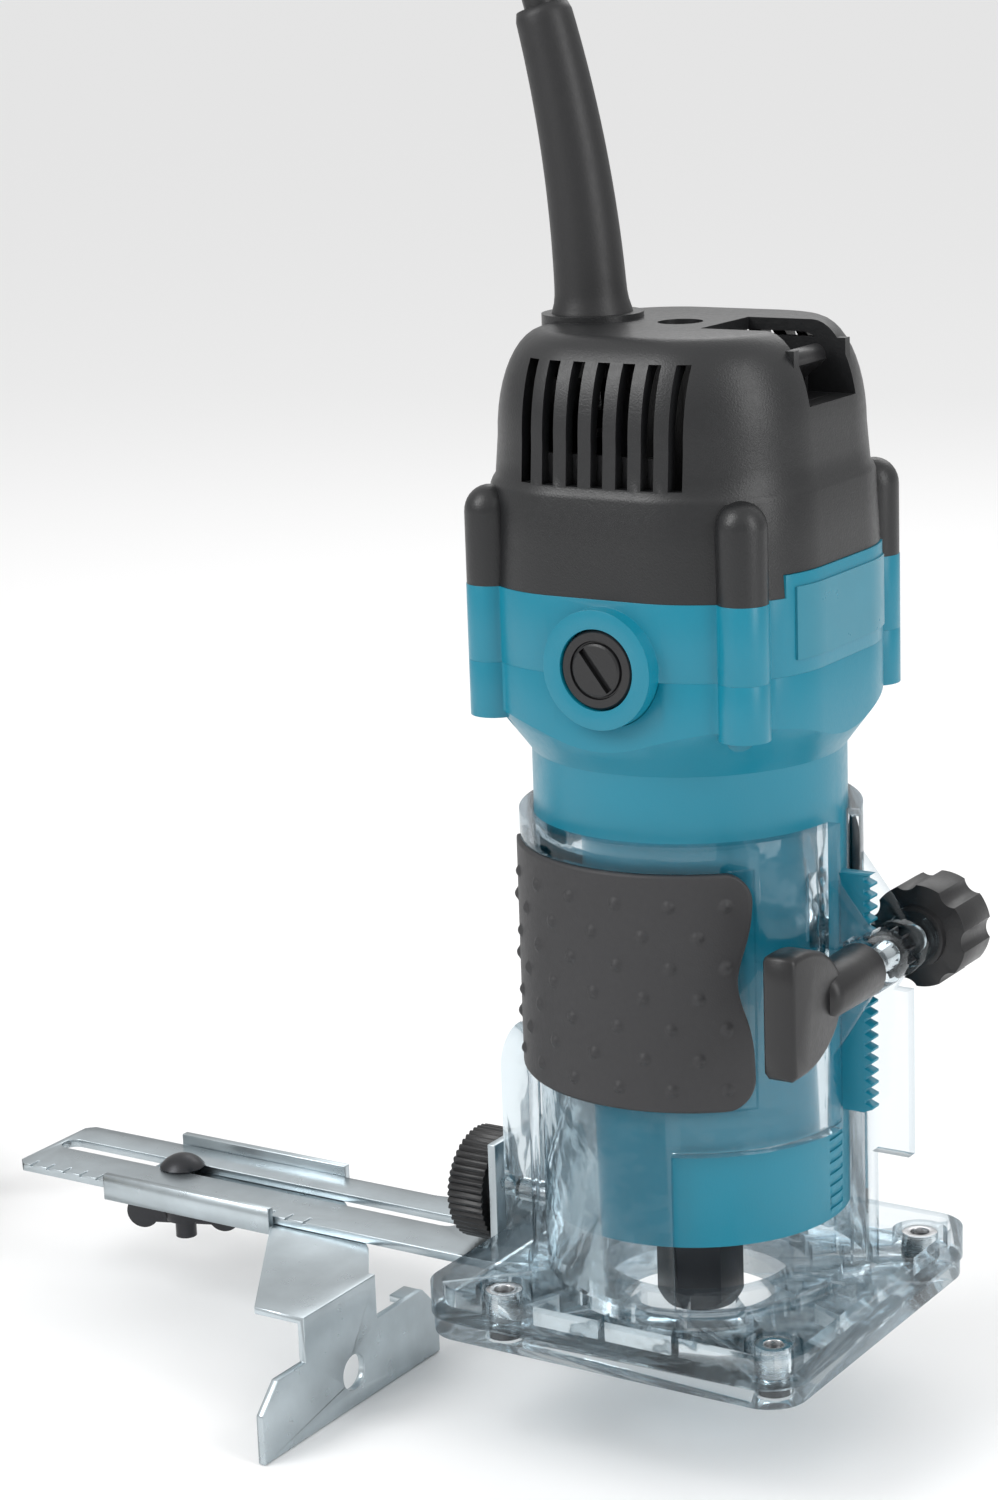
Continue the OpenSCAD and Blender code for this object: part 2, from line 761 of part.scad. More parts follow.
module pinion_shaft() {
    tooth_half = 0.17 * rack_pitch;
    root = pinion_r - 1.15 * gear_module;
    tip = pinion_r + 0.9 * gear_module;
    color([0.25, 0.25, 0.26]) {
        along_y(3, -30, 26, shaft[0], shaft[1]);
        translate([shaft[0], ear_gap[1] - 0.3, shaft[1]]) rotate([90, 0, 0])
            linear_extrude(ear_gap[1] - ear_gap[0] - 0.6) union() {
                circle(r = root);
                for (i = [0 : pinion_teeth - 1]) rotate(180 + 360 * i / pinion_teeth)
                    polygon([[root - 0.5, -1.25 * tooth_half], [pinion_r, -tooth_half], [tip, -0.45 * tooth_half],
                             [tip, 0.45 * tooth_half], [pinion_r, tooth_half], [root - 0.5, 1.25 * tooth_half]]);
            }
    }
}

module adjusting_knob() {
    lobes = 7;
    color(black) difference() {
        union() {
            along_y(10.9, 17.5, 30, shaft[0], shaft[1]);
            along_y(6.5, 15.8, 18, shaft[0], shaft[1]);
        }
        along_y(3, 15, 26, shaft[0], shaft[1]);
        for (i = [0 : lobes - 1]) translate([shaft[0], 0, shaft[1]]) rotate([0, 360 * i / lobes, 0])
            along_y(3.2, 17, 31, 13, 0);
    }
}

module clamp_wing() {
    y0 = -45;
    color(black) difference() {
        union() {
            along_y(5.7, -24, -7.8, shaft[0], shaft[1]);
            // D-shaped paddle, flat at its outer end
            intersection() {
                box([shaft[0] - 3.3, y0, shaft[1] - 12.5], [shaft[0] + 3.3, -21, shaft[1] + 12.5]);
                along_x(16.5, shaft[0] - 5, shaft[0] + 5, y0 + 7.5, shaft[1]);
            }
        }
        along_y(4.5, -19, -7, shaft[0], shaft[1]);
        along_y(3.1, -32, -7, shaft[0], shaft[1]);
    }
}

module clamp_insert() {
    color(brass) difference() {
        along_y(4.5, -19, -8.2, shaft[0], shaft[1]);
        along_y(3.06, -20, -7, shaft[0], shaft[1]);
    }
}

// ---------- guide ----------

module guide_bar() {
    color(steel) difference() {
        union() {
            translate([0, 0, bar_z[0]]) linear_extrude(bar_z[1] - bar_z[0]) polygon([
                [bar_end - bar_len, bar_y[0] + 2], [bar_end - bar_len + 2, bar_y[0]],
                [bar_end, bar_y[0]], [bar_end, bar_y[1] + 4], [bar_end - 10, bar_y[1] + 4],
                [bar_end - 34, bar_y[1]], [bar_end - bar_len + 2, bar_y[1]], [bar_end - bar_len, bar_y[1] - 2]]);
            // upright flange that the screw clamps to the base
            box([bar_end - 2, -11, bar_z[0]], [bar_end, 11, 31]);
        }
        translate([0, 0, bar_z[0] - 1]) linear_extrude(4) {
            translate([slot_x[0] + 2.9, slot_y]) circle(r = 2.9);
            translate([slot_x[1] - 2.9, slot_y]) circle(r = 2.9);
            translate([slot_x[0] + 2.9, slot_y - 2.9]) square([slot_x[1] - slot_x[0] - 5.8, 5.8]);
        }
        along_x(3.2, bar_end - 4, bar_end + 1, 0, guide_z);
        // graduation notches along the front edge
        for (x = [-176 : 5 : -96]) box([x, bar_y[0] - 1, bar_z[1] - 0.4], [x + 0.6, bar_y[0] + 3, bar_z[1] + 1]);
    }
}

module guide_screw_knob() {
    ridges = 48;
    color(black) difference() {
        along_x(knob_r, bar_end - 12, bar_end - 3.2, 0, guide_z);
        along_x(4, bar_end - 13, bar_end - 5, 0, guide_z);
        along_x(2.5, bar_end - 13, bar_end - 3, 0, guide_z);
        for (i = [0 : ridges - 1]) translate([0, 0, guide_z]) rotate([360 * i / ridges, 0, 0])
            translate([bar_end - 13, 0, knob_r - 0.6]) rotate([45, 0, 0]) cube([14, 1.2, 1.2]);
    }
}

module guide_screw_shank() {
    color(steel) {
        along_x(2.5, bar_end - 6, -sleeve_r - 0.3, 0, guide_z);
        along_x(3.95, bar_end - 9, bar_end - 5.1, 0, guide_z);
        difference() {
            along_x(8, bar_end - 3.1, bar_end - 2.1, 0, guide_z);
            along_x(2.5, bar_end - 4, bar_end, 0, guide_z);
        }
    }
}

module fence() {
    plate_top = bar_z[0] - 0.1;
    plate_z = plate_top - sheet;
    color(steel) difference() {
        union() {
            // carriage under the bar, with a lip at each side
            box([-152, bar_y[0] - 2.2, plate_z], [-104, bar_y[1] + 2.2, plate_top]);
            box([-152, bar_y[0] - 2.2, plate_z], [-104, bar_y[0] - 0.4, plate_top + 4.5]);
            box([-152, bar_y[1] + 0.4, plate_z], [-104, bar_y[1] + 2.2, plate_top + 4.5]);
            // neck that runs forwards to the fence
            translate([0, 0, plate_z]) linear_extrude(sheet) polygon([
                [-106, 4], [-104.2, 12], [-97, 6], [-77, -14], [-fence_x - sheet, -26],
                [-fence_x - sheet, -53], [-80, -53], [-104.2, -14], [-106, -12]]);
            // upright fence
            box([-fence_x - sheet, -53, -12], [-fence_x, -26, plate_top]);
            hull() {
                box([-fence_x - sheet, fence_y[0], fence_low], [-fence_x, fence_y[1], -14]);
                box([-fence_x - sheet, fence_y[0] + 6, fence_low], [-fence_x, fence_y[1] - 6, -8]);
            }
            // folded tab at the rear end
            box([-fence_x - 5, fence_y[1] - 12, -9.6], [-fence_x, fence_y[1] - 6, -8]);
        }
        along_x(4, -fence_x - 5, -fence_x + 3, -35.5, -17);
        translate([bolt_x, slot_y, plate_z - 1]) cylinder(r = 2.6, h = 5);
    }
}

module guide_bolt() {
    color(black) translate([bolt_x, slot_y, 0]) {
        translate([0, 0, bar_z[1] + 0.1]) intersection() {
            cylinder(r = 5.3, h = 3.2);
            translate([0, 0, -3.4]) sphere(r = 6.4);
        }
        translate([0, 0, -13]) cylinder(r = 2.5, h = 13 + bar_z[1] + 0.2);
    }
}

module bolt_washer() {
    washer_top = bar_z[0] - 0.1 - sheet;
    color(steel) translate([bolt_x, slot_y, 0]) ring(6, 2.6, washer_top - 1, washer_top);
}

module wing_nut() {
    top = bar_z[0] - 0.1 - sheet - 1.1;
    color(black) translate([bolt_x, slot_y, 0]) difference() {
        union() {
            translate([0, 0, top - 8]) cylinder(r1 = 4.6, r2 = 5.6, h = 8);
            for (turn = [20, 200]) rotate([0, 0, turn]) {
                box([3, -1.6, top - 9], [10, 1.6, top - 1.5]);
                translate([10, 1.6, top - 6.5]) rotate([90, 0, 0]) cylinder(r = 4, h = 3.2);
            }
        }
        translate([0, 0, top - 20]) cylinder(r = 2.56, h = 30);
    }
}

rear_cover();
upper_housing();
lower_housing();
housing_screws();
label_plate();
brush_caps();
brush_holders();
carbon_brushes();
brush_springs();
field_core();
field_coils();
baffle_plate();
upper_bearing();
lower_bearing();
bearing_retainer();
switch_body();
switch_rocker();
cord_guard();
cord_clamp();
clamp_screws();
power_cord();
cord_coil();
plug_body();
plug_pins();
spindle();
armature_core();
armature_windings();
commutator();
fan();
collet_cone();
collet_nut();
base_shell();
sub_base();
base_inserts();
base_screws();
front_grip();
rear_grip();
guide_bar();
pinion_shaft();
adjusting_knob();
clamp_wing();
clamp_insert();
guide_screw_knob();
guide_screw_shank();
fence();
guide_bolt();
bolt_washer();
wing_nut();
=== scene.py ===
"""Trim router: camera, cord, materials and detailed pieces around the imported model. Metres, +Z up."""
import json
import math

import bmesh
import bpy
from mathutils import Matrix, Vector


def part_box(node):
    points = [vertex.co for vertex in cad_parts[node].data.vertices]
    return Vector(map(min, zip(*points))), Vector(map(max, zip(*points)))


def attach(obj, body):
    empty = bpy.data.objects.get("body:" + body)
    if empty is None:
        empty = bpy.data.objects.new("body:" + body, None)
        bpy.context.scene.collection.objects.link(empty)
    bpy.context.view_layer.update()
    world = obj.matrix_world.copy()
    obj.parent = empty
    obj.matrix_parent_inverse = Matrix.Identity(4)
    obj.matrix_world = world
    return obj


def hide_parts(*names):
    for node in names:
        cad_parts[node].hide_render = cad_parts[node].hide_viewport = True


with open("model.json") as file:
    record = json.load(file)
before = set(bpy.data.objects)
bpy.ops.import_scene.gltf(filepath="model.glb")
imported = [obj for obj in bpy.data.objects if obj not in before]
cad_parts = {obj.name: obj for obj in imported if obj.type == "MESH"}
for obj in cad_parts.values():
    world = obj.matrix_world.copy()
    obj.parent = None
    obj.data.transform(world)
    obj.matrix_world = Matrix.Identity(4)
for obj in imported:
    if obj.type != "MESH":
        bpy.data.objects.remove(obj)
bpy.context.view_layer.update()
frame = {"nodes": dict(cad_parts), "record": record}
MM = 0.001
FLOOR_Z = -25 * MM


# ---------- camera, light and floor ----------

VIEW_TURN, VIEW_RISE, VIEW_ROLL = 32.8, 13.75, -2.0
VIEW_DISTANCE = 0.7
VIEW_TARGET = Vector((-33.03, -21.29, 123.0)) * MM
LENS = 81.408
FLOOR_SIZE, FLOOR_GAP = 40, 0.0002


def view_axes():
    """The camera's right, up and back directions."""
    turn, rise, roll = (math.radians(a) for a in (VIEW_TURN, VIEW_RISE, VIEW_ROLL))
    back = Vector((math.sin(turn) * math.cos(rise), -math.cos(turn) * math.cos(rise), math.sin(rise)))
    level = (-back).cross(Vector((0, 0, 1))).normalized()
    upright = level.cross(-back)
    right = level * math.cos(roll) + upright * math.sin(roll)
    up = upright * math.cos(roll) - level * math.sin(roll)
    return right, up, back


def make_camera():
    """The camera, on the line from its target at the named turn and rise."""
    data = bpy.data.cameras.new("camera")
    data.lens = LENS
    data.clip_start = 0.02
    data.clip_end = 100
    camera = bpy.data.objects.new("camera", data)
    bpy.context.scene.collection.objects.link(camera)
    right, up, back = view_axes()
    turned = Matrix((right, up, back)).transposed().to_4x4()
    camera.matrix_world = Matrix.Translation(VIEW_TARGET + back * VIEW_DISTANCE) @ turned
    bpy.context.scene.camera = camera


def soft_light(name, place, size, watts, aim=(0, 0, 0.1)):
    """A rectangular area light that faces the object."""
    data = bpy.data.lights.new(name, "AREA")
    data.shape = "RECTANGLE"
    data.size, data.size_y = size
    data.energy = watts
    light = bpy.data.objects.new(name, data)
    light.location = place
    light.rotation_euler = (Vector(aim) - Vector(place)).to_track_quat("-Z", "Y").to_euler()
    bpy.context.scene.collection.objects.link(light)


def make_studio():
    """White room, brightest overhead, so that gloss shows soft dark sides."""
    world = bpy.data.worlds.new("studio")
    world.use_nodes = True
    new, link = world.node_tree.nodes.new, world.node_tree.links.new
    split = new("ShaderNodeSeparateXYZ")
    link(new("ShaderNodeTexCoord").outputs["Generated"], split.inputs["Vector"])
    ramp = new("ShaderNodeValToRGB")
    ramp.color_ramp.elements[0].position = 0.02
    ramp.color_ramp.elements[0].color = (0.50, 0.50, 0.50, 1)
    ramp.color_ramp.elements[1].position = 0.75
    ramp.color_ramp.elements[1].color = (1, 1, 1, 1)
    link(split.outputs["Z"], ramp.inputs["Fac"])
    background = world.node_tree.nodes["Background"]
    link(ramp.outputs["Color"], background.inputs["Color"])
    background.inputs["Strength"].default_value = 0.92
    bpy.context.scene.world = world
    bpy.context.scene.view_settings.view_transform = "Standard"
    soft_light("key", (-0.55, -0.85, 0.95), (0.6, 0.8), 8)
    soft_light("side", (0.95, -0.15, 0.55), (0.4, 0.9), 4)
    soft_light("back", (-0.2, 0.9, 0.8), (0.8, 0.5), 2)
    bpy.ops.mesh.primitive_plane_add(size=FLOOR_SIZE, location=(0, 0, FLOOR_Z - FLOOR_GAP))
    floor = bpy.context.object
    floor.name = "floor"
    floor.data.materials.append(finish("floor_paint", (0.94, 0.94, 0.94), 0.9, mottle=0.0,
                                       Specular_IOR_Level=0.0))


# ---------- materials ----------

def socket(shader, name, value):
    shader.inputs[name].default_value = value


ROUGH_SPREAD = 0.08
MOTTLE_SCALE = 110


def finish(name, colour, roughness, metallic=0.0, grain=900, depth=0.0, mottle=0.06, streak=None,
           **extra):
    """A procedural finish: mottled colour, uneven roughness and a fine bump, in object coordinates."""
    made = bpy.data.materials.get(name)
    if made:
        return made
    made = bpy.data.materials.new(name)
    made.use_nodes = True
    tree = made.node_tree
    new, link = tree.nodes.new, tree.links.new
    shader = tree.nodes["Principled BSDF"]
    where = new("ShaderNodeTexCoord").outputs["Object"]
    if streak:
        stretch = new("ShaderNodeMapping")
        stretch.inputs["Scale"].default_value = streak
        link(where, stretch.inputs["Vector"])
        where = stretch.outputs["Vector"]

    def noise(scale, detail):
        node = new("ShaderNodeTexNoise")
        node.inputs["Scale"].default_value = scale
        node.inputs["Detail"].default_value = detail
        link(where, node.inputs["Vector"])
        return node.outputs["Fac"]

    tint = new("ShaderNodeMix")
    tint.data_type = "RGBA"
    tint.inputs[6].default_value = [c * (1 - mottle) for c in colour[:3]] + [1]
    tint.inputs[7].default_value = [min(1, c * (1 + mottle)) for c in colour[:3]] + [1]
    link(noise(MOTTLE_SCALE, 4), tint.inputs[0])
    link(tint.outputs[2], shader.inputs["Base Color"])
    rough = new("ShaderNodeMapRange")
    rough.inputs["To Min"].default_value = max(0.0, roughness - ROUGH_SPREAD)
    rough.inputs["To Max"].default_value = min(1.0, roughness + ROUGH_SPREAD)
    link(noise(grain * 0.3, 3), rough.inputs["Value"])
    link(rough.outputs["Result"], shader.inputs["Roughness"])
    if depth:
        bump = new("ShaderNodeBump")
        bump.inputs["Strength"].default_value = 1.0
        bump.inputs["Distance"].default_value = depth
        link(noise(grain, 2), bump.inputs["Height"])
        link(bump.outputs["Normal"], shader.inputs["Normal"])
    socket(shader, "Metallic", metallic)
    for key, value in extra.items():
        socket(shader, key.replace("_", " "), value)
    return made


def clear_finish():
    """Clear polycarbonate: seen through, with gloss and a darker tint where the wall is seen on edge."""
    name = "clear_plastic_look"
    made = bpy.data.materials.get(name)
    if made:
        return made
    made = bpy.data.materials.new(name)
    made.use_nodes = True
    new, link = made.node_tree.nodes.new, made.node_tree.links.new
    shader = made.node_tree.nodes["Principled BSDF"]
    socket(shader, "Base Color", (0.90, 0.95, 0.97, 1))
    socket(shader, "Metallic", 1.0)
    socket(shader, "Roughness", 0.06)
    ripple = new("ShaderNodeTexNoise")
    ripple.inputs["Scale"].default_value = 90
    link(new("ShaderNodeTexCoord").outputs["Object"], ripple.inputs["Vector"])
    bump = new("ShaderNodeBump")
    bump.inputs["Distance"].default_value = 0.0004
    link(ripple.outputs["Fac"], bump.inputs["Height"])
    link(bump.outputs["Normal"], shader.inputs["Normal"])
    edge = new("ShaderNodeLayerWeight")
    edge.inputs["Blend"].default_value = 0.22
    tint = new("ShaderNodeMix")
    tint.data_type = "RGBA"
    tint.inputs[6].default_value = (0.97, 0.985, 0.99, 1)
    tint.inputs[7].default_value = (0.52, 0.60, 0.66, 1)
    link(edge.outputs["Facing"], tint.inputs[0])
    through = new("ShaderNodeBsdfTransparent")
    link(tint.outputs[2], through.inputs["Color"])
    share = new("ShaderNodeMapRange")
    share.inputs["To Min"].default_value = 0.02
    share.inputs["To Max"].default_value = 0.8
    link(edge.outputs["Fresnel"], share.inputs["Value"])
    mix = new("ShaderNodeMixShader")
    link(share.outputs["Result"], mix.inputs[0])
    link(through.outputs["BSDF"], mix.inputs[1])
    link(shader.outputs["BSDF"], mix.inputs[2])
    link(mix.outputs["Shader"], made.node_tree.nodes["Material Output"].inputs["Surface"])
    return made


FINISHES = {
    "cap_plastic": dict(colour=(0.012, 0.0125, 0.0135), roughness=0.36, grain=2600, depth=0.00005),
    "teal_plastic": dict(colour=(0.003, 0.195, 0.285), roughness=0.33, grain=2200, depth=0.00002,
                         mottle=0.04),
    "grip_rubber": dict(colour=(0.026, 0.026, 0.028), roughness=0.55, grain=2400, depth=0.00005),
    "black_plastic": dict(colour=(0.010, 0.010, 0.011), roughness=0.36, grain=2400, depth=0.00003),
    "cord_rubber": dict(colour=(0.012, 0.012, 0.013), roughness=0.45, grain=1800, depth=0.00003),
    "zinc_steel": dict(colour=(0.50, 0.56, 0.59), roughness=0.3, metallic=1.0, grain=700, depth=0.00002,
                       mottle=0.2),
    "steel": dict(colour=(0.60, 0.61, 0.62), roughness=0.28, metallic=1.0, grain=1200, depth=0.00001,
                  streak=(1, 1, 8)),
    "black_steel": dict(colour=(0.045, 0.046, 0.05), roughness=0.36, metallic=0.75, grain=1500, depth=0.00002,
                        mottle=0.15),
    "brass": dict(colour=(0.72, 0.52, 0.22), roughness=0.3, metallic=1.0, depth=0.00001),
    "copper": dict(colour=(0.62, 0.27, 0.12), roughness=0.35, metallic=0.9, grain=1500, depth=0.0001,
                   streak=(1, 1, 0.2)),
    "core_steel": dict(colour=(0.30, 0.30, 0.31), roughness=0.45, metallic=1.0, grain=1600, depth=0.0001,
                       streak=(0.05, 0.05, 1)),
    "carbon": dict(colour=(0.03, 0.03, 0.032), roughness=0.7, depth=0.00004),
    "fan_plastic": dict(colour=(0.62, 0.60, 0.54), roughness=0.5, depth=0.00002),
    "label": dict(colour=(0.02, 0.20, 0.28), roughness=0.3, grain=600, depth=0.00001),
}


def paint(name):
    """The look of a material slot."""
    return clear_finish() if name == "clear_plastic" else finish(name + "_look", **FINISHES[name])


def round_edges(obj, width, angle=35):
    """Rounds an object's sharp edges a little, as moulding and finishing do."""
    weld = obj.modifiers.new("weld", "WELD")
    weld.merge_threshold = 0.000004
    bevel = obj.modifiers.new("bevel", "BEVEL")
    bevel.width = width
    bevel.segments = 2
    bevel.limit_method = "ANGLE"
    bevel.angle_limit = math.radians(angle)
    bevel.use_clamp_overlap = True


# Width of the rounded edges, in millimetres, of the CAD nodes that show.
EDGE = {
    "upper_housing": 0.35, "lower_housing": 0.35, "base_shell": 0.3, "sub_base": 0.3,
    "collet_nut": 0.3, "guide_bar": 0.2, "fence": 0.25, "guide_screw_knob": 0.25,
    "adjusting_knob": 0.8, "wing_nut": 0.5, "switch_rocker": 0.4, "base_inserts": 0.2,
}


def paint_nodes():
    """Gives every CAD node its slot's finish, and softens the edges of those that show."""
    for part in frame["record"]["subparts"]:
        name = part["node"]
        obj = frame["nodes"][name]
        obj.data.materials.clear()
        obj.data.materials.append(paint(part["material_slot"]))
        obj.data.polygons.foreach_set("use_smooth", [True] * len(obj.data.polygons))
        obj.data.set_sharp_from_angle(angle=math.radians(30))
        if name in EDGE:
            round_edges(obj, EDGE[name] * MM)


# ---------- mesh helpers ----------

WELD_DISTANCE = 1e-6


def loose(name, verts, faces):
    """A plain object, welded and with its faces turned outwards."""
    mesh = bpy.data.meshes.new(name)
    mesh.from_pydata([tuple(v) for v in verts], [], faces)
    work = bmesh.new()
    work.from_mesh(mesh)
    bmesh.ops.remove_doubles(work, verts=work.verts, dist=WELD_DISTANCE)
    bmesh.ops.recalc_face_normals(work, faces=work.faces)
    work.to_mesh(mesh)
    work.free()
    obj = bpy.data.objects.new(name, mesh)
    bpy.context.scene.collection.objects.link(obj)
    return obj


def dress(obj, body, slot, replaces=()):
    """Paints an object smooth in its slot's finish, and rides it on a body in place of CAD nodes."""
    mesh = obj.data
    mesh.materials.clear()
    mesh.materials.append(paint(slot))
    for face in mesh.polygons:
        face.use_smooth = True
        face.material_index = 0
    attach(obj, body)
    if replaces:
        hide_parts(*replaces)


def piece(name, verts, faces, body, slot, replaces=()):
    """A named mesh that rides on a body, painted with its slot's finish."""
    obj = loose(name, verts, faces)
    dress(obj, body, slot, replaces)
    return obj


def skin(rings):
    """Vertices and faces of a closed surface through rings of equally many points."""
    count = len(rings[0])
    verts = [p for ring in rings for p in ring]
    faces = []
    for i in range(len(rings) - 1):
        for j in range(count):
            k = (j + 1) % count
            faces.append((i * count + j, i * count + k, (i + 1) * count + k, (i + 1) * count + j))
    faces.append(tuple(range(count)))
    faces.append(tuple(range(len(verts) - count, len(verts))))
    return verts, faces


def circle(r, count):
    """Pairs (r cos, r sin) at equal steps round a circle."""
    turns = (2 * math.pi * j / count for j in range(count))
    return [(r * math.cos(a), r * math.sin(a)) for a in turns]


def smoothstep(t):
    """Eases from 0 to 1 as t goes from 0 to 1, and holds beyond."""
    t = min(1.0, max(0.0, t))
    return t * t * (3 - 2 * t)


def curved(points, steps):
    """Catmull-Rom points through given ones."""
    pts = [Vector(p) for p in points]
    pts = [2 * pts[0] - pts[1]] + pts + [2 * pts[-1] - pts[-2]]
    found = []
    for i in range(1, len(pts) - 2):
        a, b, c, d = pts[i - 1:i + 3]
        for s in range(steps):
            t = s / steps
            found.append(0.5 * (2 * b + (c - a) * t + (2 * a - 5 * b + 4 * c - d) * t ** 2
                                + (3 * b - a - 3 * c + d) * t ** 3))
    return found + [pts[-2]]


# ---------- cord ----------

CORD_D = 7 * MM
COIL_CENTRE = Vector((-0.270, -0.022, 0))
COIL_START = math.radians(90)
COIL_OUT, COIL_IN = 38.5, 31.5
COIL_RADII = (COIL_OUT, COIL_IN, COIL_IN, COIL_OUT, COIL_OUT, COIL_IN, COIL_IN, COIL_OUT, COIL_OUT)
COIL_LAYERS = (0, 0, 1, 1, 2, 2, 3, 3, 4)
TURN_STEPS = 48
EASE_FROM = 0.72
TAIL_SWEEP, TAIL_CLIMB, TAIL_STEPS = 180, 60, 12
PLUG_FROM = Vector((-0.270, -0.057, 0.017))
CORD_ROUTE = [
    (-0.031, 0.001, 0.272), (-0.034, 0.001, 0.282), (-0.038, 0.001, 0.292), (-0.045, 0.001, 0.304),
    (-0.056, 0.002, 0.316), (-0.071, 0.003, 0.326), (-0.090, 0.004, 0.332), (-0.111, 0.005, 0.332),
    (-0.133, 0.006, 0.327), (-0.154, 0.007, 0.316), (-0.172, 0.008, 0.300), (-0.187, 0.009, 0.279),
    (-0.199, 0.010, 0.251), (-0.207, 0.011, 0.218), (-0.212, 0.012, 0.180), (-0.215, 0.013, 0.140),
    (-0.217, 0.014, 0.100), (-0.219, 0.015, 0.060), (-0.221, 0.016, 0.032), (-0.225, 0.016, 0.008),
    (-0.234, 0.016, -0.010), (-0.246, 0.016, -0.019), (-0.258, 0.016, -0.0215), (-0.270, 0.0165, -0.0215),
]


def coil_points():
    """The stored turns: two columns, laid up layer by layer, each easing into the next at its end."""
    found = []
    for turn in range(len(COIL_RADII)):
        after = min(turn + 1, len(COIL_RADII) - 1)
        for s in range(TURN_STEPS):
            t = s / TURN_STEPS
            ease = smoothstep((t - EASE_FROM) / (1 - EASE_FROM))
            r = (COIL_RADII[turn] * (1 - ease) + COIL_RADII[after] * ease) * MM
            layer = COIL_LAYERS[turn] * (1 - ease) + COIL_LAYERS[after] * ease
            angle = COIL_START + 2 * math.pi * t
            found.append(COIL_CENTRE + Vector((r * math.cos(angle), r * math.sin(angle),
                                               FLOOR_Z + CORD_D * (0.5 + layer))))
    return found


def tail_points():
    """The last stretch, which climbs on to the coil and leads to the plug."""
    found = []
    top = FLOOR_Z + CORD_D * (COIL_LAYERS[-1] + 0.5)
    for step in range(TAIL_STEPS):
        sweep = TAIL_SWEEP * step / TAIL_STEPS
        inward = sweep / TAIL_SWEEP
        r = COIL_OUT * MM - CORD_D / 2 * inward
        angle = COIL_START + math.radians(sweep)
        z = top + CORD_D * smoothstep(sweep / TAIL_CLIMB) + CORD_D / 2 * inward ** 2
        found.append(COIL_CENTRE + Vector((r * math.cos(angle), r * math.sin(angle), z)))
    return found + [PLUG_FROM]


def make_cord():
    """The cord from the guard to the plug, as one round curve."""
    points = curved(CORD_ROUTE, 4)[:-1] + coil_points() + tail_points()
    data = bpy.data.curves.new("cord", "CURVE")
    data.dimensions = "3D"
    spline = data.splines.new("POLY")
    spline.points.add(len(points) - 1)
    for spot, p in zip(spline.points, points):
        spot.co = (*p, 1)
    data.bevel_depth = CORD_D / 2
    data.bevel_resolution = 4
    data.use_fill_caps = True
    data.materials.append(paint("cord_rubber"))
    cord = bpy.data.objects.new("cord", data)
    bpy.context.scene.collection.objects.link(cord)
    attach(cord, "motor_unit")
    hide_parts("power_cord", "cord_coil")
    return cord


def make_plug():
    """Moulded plug: a ribbed neck and a flat body that swells between its ends."""
    # Distance along the plug, half thickness, half width
    sections = [
        (0, 4.6, 4.6), (2, 5.2, 5.2), (4, 4.6, 4.6), (6, 5.4, 5.4), (8, 4.8, 4.8), (10, 6.2, 6.6),
        (14, 8.4, 10.6), (20, 6.8, 13.2), (27, 6.6, 13.8), (33, 6.9, 14.6), (38, 6.9, 14.8), (40, 6.3, 14.2),
    ]
    around, neck_end, squareness = 32, 12, 0.62
    rings = []
    for along, thick, wide in sections:
        power = squareness if along > neck_end else 1
        ring = []
        for c, s in circle(1, around):
            y = wide * math.copysign(abs(c) ** power, c)
            z = thick * math.copysign(abs(s) ** power, s)
            ring.append(PLUG_FROM + Vector((along, y, z)) * MM)
        rings.append(ring)
    body = piece("plug", *skin(rings), "motor_unit", "black_plastic", ["plug_body"])
    levels = body.modifiers.new("smooth", "SUBSURF")
    levels.levels = levels.render_levels = 1
    return body


def make_guard():
    """Bend protector: a smooth tapered sleeve with a rolled mouth and a foot."""
    foot = Vector((-0.021, 0.001, 0.205))
    lean, drift, reach = 9.5 * MM, 0.5 * MM, 67 * MM
    foot_r, taper = 7.7, 1.9
    collar, collar_at, collar_width = 1.1, 0.07, 0.045
    mouth_from, mouth_in = 0.97, 0.5
    seam_h, seam_width = 0.12, 0.05
    steps, around = 40, 40
    rings = []
    for i in range(steps + 1):
        t = i / steps
        centre = foot + Vector((-lean * t * t - drift * t, 0, reach * t))
        r = (foot_r - taper * t + collar * math.exp(-((t - collar_at) / collar_width) ** 2)) * MM
        if t > mouth_from:
            r -= mouth_in * MM * ((t - mouth_from) / (1 - mouth_from)) ** 2
        ahead = Vector((-2 * lean * t - drift, 0, reach)).normalized()
        side = Vector((0, 1, 0))
        front = ahead.cross(side)
        ring = []
        for j in range(around):
            a = 2 * math.pi * j / around
            seam = seam_h * MM * math.exp(-(math.sin((a + 0.5) / 2) / seam_width) ** 2)
            ring.append(centre + (side * math.cos(a) + front * math.sin(a)) * (r + seam))
        rings.append(ring)
    piece("guard", *skin(rings), "motor_unit", "cord_rubber", ["cord_guard"])


# ---------- rubber grips ----------

GRIP_ROWS = (98.4, 92.0, 85.6, 79.2, 72.8, 66.4, 60.0)
GRIP_PITCH = 17.8
GRIP_FIRST = -50.4
GRIP_Z = (55.2, 104.8)
GRIP_R = 36.3
GRIP_INNER = 34.3
GRIP_FAR = -157.5
GRIP_CORNER = 6.5
GRIP_COLUMNS = 6
DOME_R, DOME_H = 1.45, 0.75


def grip_edge(z):
    """Angle of the grip's edge on the clamp side: an S that gives the clamp's wing room."""
    edge, bay, middle, spread = -41.0, 5.5, 82.0, 9.0
    return edge - bay * math.exp(-((z - middle) / spread) ** 2)


